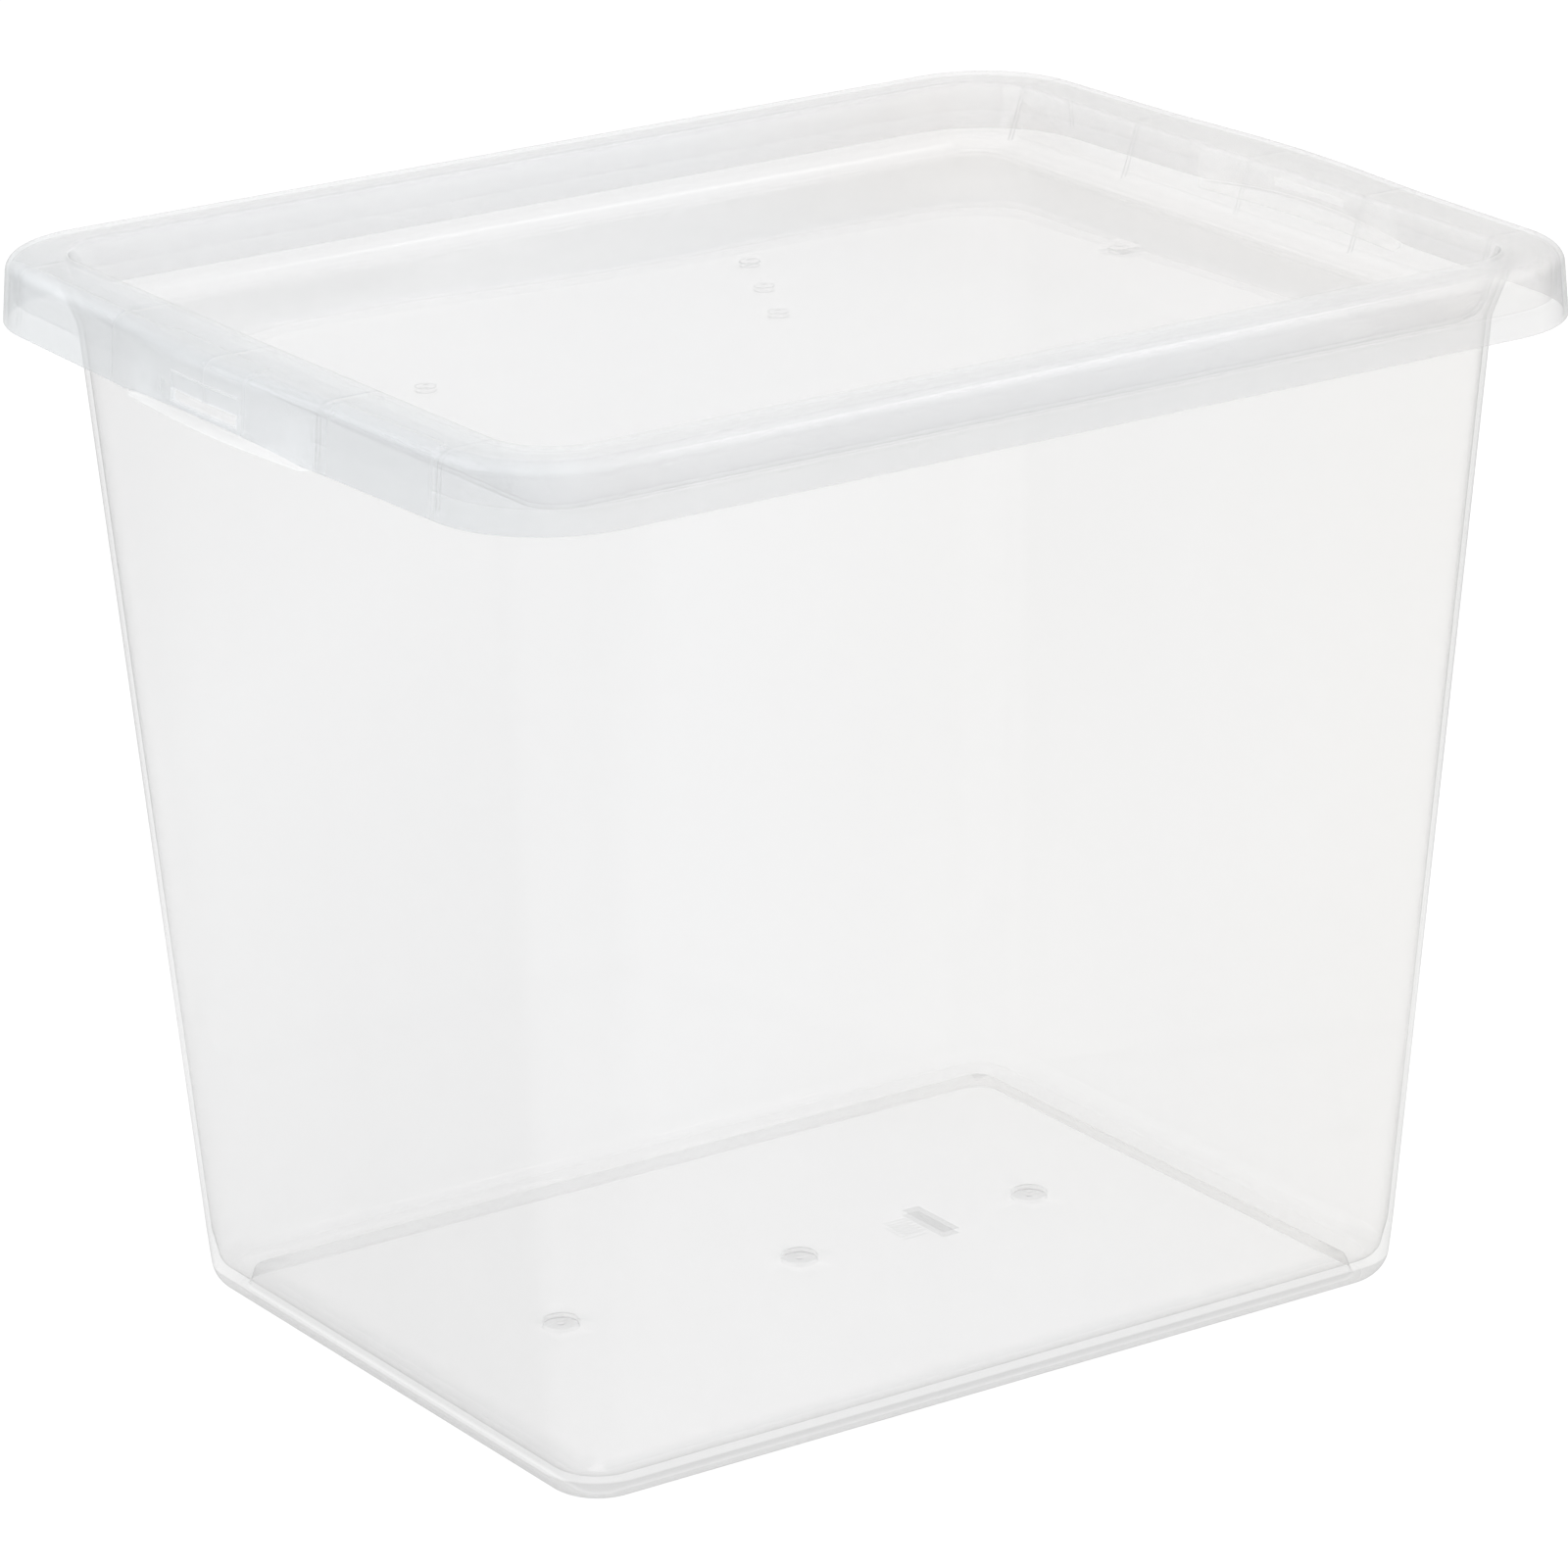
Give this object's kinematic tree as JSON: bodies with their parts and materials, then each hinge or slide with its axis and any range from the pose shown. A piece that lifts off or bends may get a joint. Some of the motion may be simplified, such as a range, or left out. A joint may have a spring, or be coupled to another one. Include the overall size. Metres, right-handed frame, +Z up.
{
  "type": "stackable storage bin",
  "caption": "Large clear lidded storage bin with drafted walls, end grips and a recessed lift-off lid that the next bin stands in.",
  "frame": {"origin": "on the floor under the centre of the bin", "axes": "+X along the long side, +Y across the bin, +Z up"},
  "size_m": [0.6018, 0.4698, 0.4993],
  "materials": {
    "bin_body": "clear polypropylene, polished",
    "lid": "clear polypropylene, polished"
  },
  "bodies": {
    "bin": {"bin_body": "bin_body"},
    "lid": {"lid": "lid"}
  },
  "joints": [
    {"name": "lid_lift", "type": "slide", "parent": "bin", "child": "lid", "axis": [0, 0, 1], "range_m": [0, 0.12]}
  ]
}
